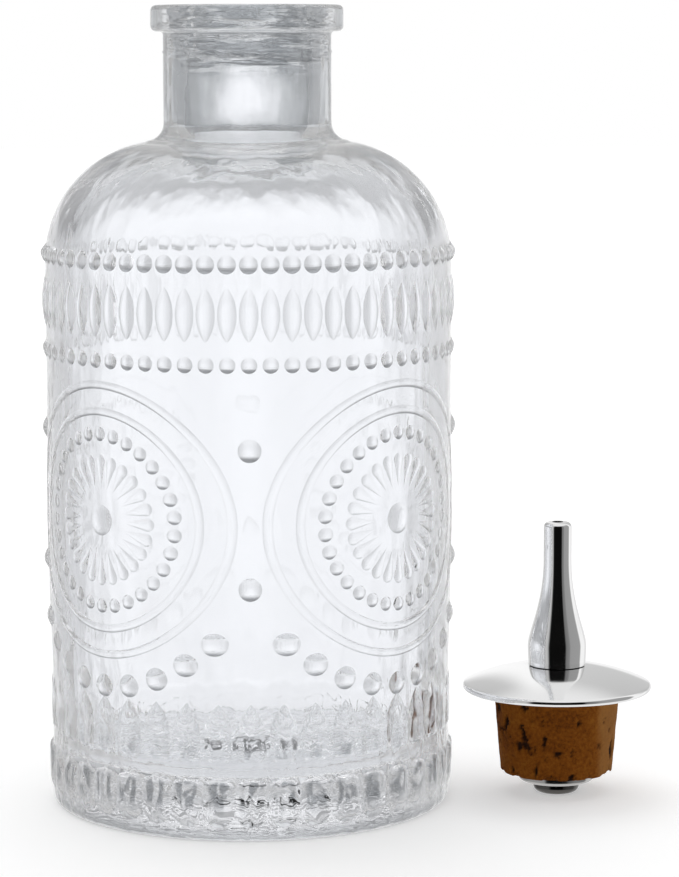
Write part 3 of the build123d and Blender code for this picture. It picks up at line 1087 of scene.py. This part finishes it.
        # Painted shade: the nut's steel is made nearly black to stand in for the shade it reflects beneath the
        # washer.
        dark = PolishedChrome("shade_darkened_steel", (0.10, 0.095, 0.09), 0.14).material()
        self.metal(self.nut_outline(), "round_nut", "tube_nut", Body.STOPPER, dark)
        self.metal(self.washer_outline(), "pressed_washer", "clamp_washer", Body.STOPPER, steel)
        self.metal(self.flange_outline(), "domed_flange", "dome_flange", Body.STOPPER, chrome)
        self.metal(self.nozzle_outline(), "dasher_nozzle", "nozzle", Body.NOZZLE, chrome)
        self.cork()
        tube = nodes["through_tube"].data
        tube.materials.clear()
        tube.materials.append(chrome)


@dataclass
class Studio:
    """The white floor, the soft light, the surrounding cards and the camera."""

    floor_size: float = 6.0
    floor_colour: Colour = (0.80, 0.80, 0.80)
    floor_glow: Point = (0.39, 0.62)
    floor_reach: Point = (0.15, 0.70)
    lamp_place: Triple = (-0.12, 0.30, 0.75)
    lamp_target: Triple = (0.0, 0.0, 0.05)
    lamp_size: float = 0.6
    lamp_power: float = 1.6
    sky: Point = (0.14, 0.90)
    sky_reach: Point = (0.15, 0.90)
    card_stops: tuple[Point, ...] = (
        (0.0, 1.0), (0.10, 0.62), (0.14, 0.40), (0.19, 0.40), (0.22, 0.52), (0.38, 0.52), (0.403, 0.004),
        (0.578, 0.004), (0.588, 0.16), (0.625, 0.22), (0.64, 0.32), (0.77, 0.34), (0.785, 0.95), (0.86, 0.95),
        (0.88, 0.75), (1.0, 1.0),
    )
    card_top: Point = (0.60, 0.85)
    card_bottom: Point = (-0.62, -0.42)
    above: Colour = (0.85, 0.85, 0.85)
    below: Colour = (0.88, 0.88, 0.88)
    flange_shade: Colour = (0.05, 0.05, 0.05)
    flange_share: float = 0.36
    flange_sides: Point = (0.02, 0.14)
    flange_depths: Point = (0.3, 0.6)
    flange_heights: Point = (0.04, 0.16)
    wall_reach: Point = (0.05, 0.46)
    corner_tone: float = 0.62
    ground_reach: Point = (-0.60, -0.24)
    ground_share: float = 0.9
    air_reach: Point = (0.08, 0.28)
    air_share: float = 0.7
    height_stops: tuple[Point, ...] = (
        (0.0, 0.85), (0.35, 0.90), (0.43, 0.98), (0.505, 0.98), (0.525, 0.88), (0.545, 0.66), (0.565, 0.44),
        (0.635, 0.40), (0.675, 0.62), (0.73, 0.84), (1.0, 0.88),
    )
    through_tint: Triple = (1.12, 1.13, 1.155)
    camera_place: Triple = (0.0, -0.50315, 0.12290)
    camera_turns: Triple = (7.290, 1.656, -0.136)
    focal_length: float = 128.86
    sensor: float = 36.0

    def floor(self) -> None:
        """Makes the floor, white where the light reaches it and darker in the object's shadow."""
        mesh = bmesh.new()
        bmesh.ops.create_grid(mesh, x_segments=1, y_segments=1, size=self.floor_size / 2)
        piece = finished(mesh, "floor")
        shader = Shader(bpy.data.materials.new("white_floor"))
        x, y, _ = shader.place()
        glow = shader.eased(np.sqrt(x * x + y * y), *self.floor_reach, *self.floor_glow)
        glow = glow * shader.add("LightPath", output="Is Camera Ray")
        paint = shader.add("BsdfDiffuse", {"Color": self.floor_colour})
        light = shader.add("Emission", {"Color": WHITE, "Strength": glow})
        shader.add("OutputMaterial", {"Surface": shader.add("AddShader", {0: paint, 1: light})})
        piece.data.materials.append(shader.owner)
        piece.visible_glossy = piece.visible_transmission = False

    def surroundings(self) -> None:
        """Makes the world: white behind the object, and the studio that glass and metal show."""
        world = bpy.data.worlds.new("studio")
        bpy.context.scene.world = world
        shader = Shader(world)
        way = shader.place("Generated")
        sky = shader.eased(way[2], *self.sky_reach, *self.sky)
        colour = shader.add("CombineColor", {0: sky, 1: sky, 2: sky})
        seen = {
            "Is Glossy Ray": self.reflected(shader, way),
            "Is Transmission Ray": self.looked_through(shader, way),
            "Is Camera Ray": WHITE,
        }
        for ray, light in seen.items():
            colour = shader.mixed(shader.add("LightPath", output=ray), colour, light)
        shader.add("OutputWorld", {"Surface": shader.add("Background", {"Color": colour, "Strength": 1.0})})

    def reflected(self, shader: Shader, way: Place) -> Wire:
        """Works out the studio that metal shows: upright cards, and light above and below.

        Args:
            shader: the world's shader.
            way: the direction along X, Y and Z.

        Returns:
            The light's colour.
        """
        x, y, z = way
        strips = shader.ramp(np.arctan2(x, -y) / math.tau + 0.5, self.card_stops)
        beside = shader.eased(abs(x), *self.flange_sides) * shader.eased(z, *self.flange_heights)
        shade = beside * shader.eased(y, *self.flange_depths) * self.flange_share
        strips = shader.mixed(shade, strips, self.flange_shade)
        upper = shader.mixed(shader.eased(z, *self.card_top), strips, self.above)
        return shader.mixed(shader.eased(z, *self.card_bottom), self.below, upper)

    def looked_through(self, shader: Shader, way: Place) -> Wire:
        """Works out the studio that shows through glass: white walls on four sides, greyer corners and top.

        Args:
            shader: the world's shader.
            way: the direction along X, Y and Z.

        Returns:
            The light's colour.
        """
        x, y, z = way
        aside = abs(folded(np.arctan2(x, y), math.pi / 2))
        wall = shader.eased(aside, *self.wall_reach, 1.0, self.corner_tone)
        ground = shader.eased(z, *self.ground_reach, self.ground_share, 0.0)
        around = wall + (1.0 - wall) * (ground + shader.eased(z, *self.air_reach, 0.0, self.air_share))
        light = around * shader.ramp(z * 0.5 + 0.5, self.height_stops)
        tinted = dict(enumerate(light * tint for tint in self.through_tint))
        return shader.add("CombineColor", tinted)

    def lamps(self) -> None:
        """Hangs one large soft lamp above and to the left."""
        light = bpy.data.lights.new("soft_lamp", "AREA")
        light.shape = "RECTANGLE"
        light.size = light.size_y = self.lamp_size
        light.energy = self.lamp_power
        lamp = bpy.data.objects.new("soft_lamp", light)
        lamp.location = self.lamp_place
        lamp.rotation_euler = (Vector(self.lamp_target) - lamp.location).to_track_quat("-Z", "Y").to_euler()
        lamp.visible_glossy = lamp.visible_transmission = False
        bpy.context.scene.collection.objects.link(lamp)

    def camera(self) -> None:
        """Sets the camera at the photograph's viewpoint."""
        pitch, yaw, roll = (math.radians(turn) for turn in self.camera_turns)
        forward = Vector((math.sin(yaw) * math.cos(pitch), math.cos(yaw) * math.cos(pitch), -math.sin(pitch)))
        level = Vector((math.cos(yaw), -math.sin(yaw), 0.0))
        upright = level.cross(forward)
        right = level * math.cos(roll) + upright * math.sin(roll)
        up = upright * math.cos(roll) - level * math.sin(roll)
        data = bpy.data.cameras.new("camera")
        data.lens = self.focal_length
        data.sensor_width = self.sensor
        camera = bpy.data.objects.new("camera", data)
        turned = Matrix((right, up, -forward)).transposed().to_4x4()
        camera.matrix_world = Matrix.Translation(self.camera_place) @ turned
        bpy.context.scene.collection.objects.link(camera)
        bpy.context.scene.camera = camera

    def build(self) -> None:
        """Sets up the whole studio."""
        bpy.context.scene.view_settings.view_transform = "Standard"
        self.floor()
        self.surroundings()
        self.lamps()
        self.camera()


def main() -> None:
    """Builds the bottle, the stopper and the studio."""
    logging.basicConfig(level=logging.INFO, format="%(name)s: %(message)s")
    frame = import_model()
    GlassBottle().build()
    Stopper().build(frame["nodes"])
    Studio().build()


if __name__ == "__main__":
    main()
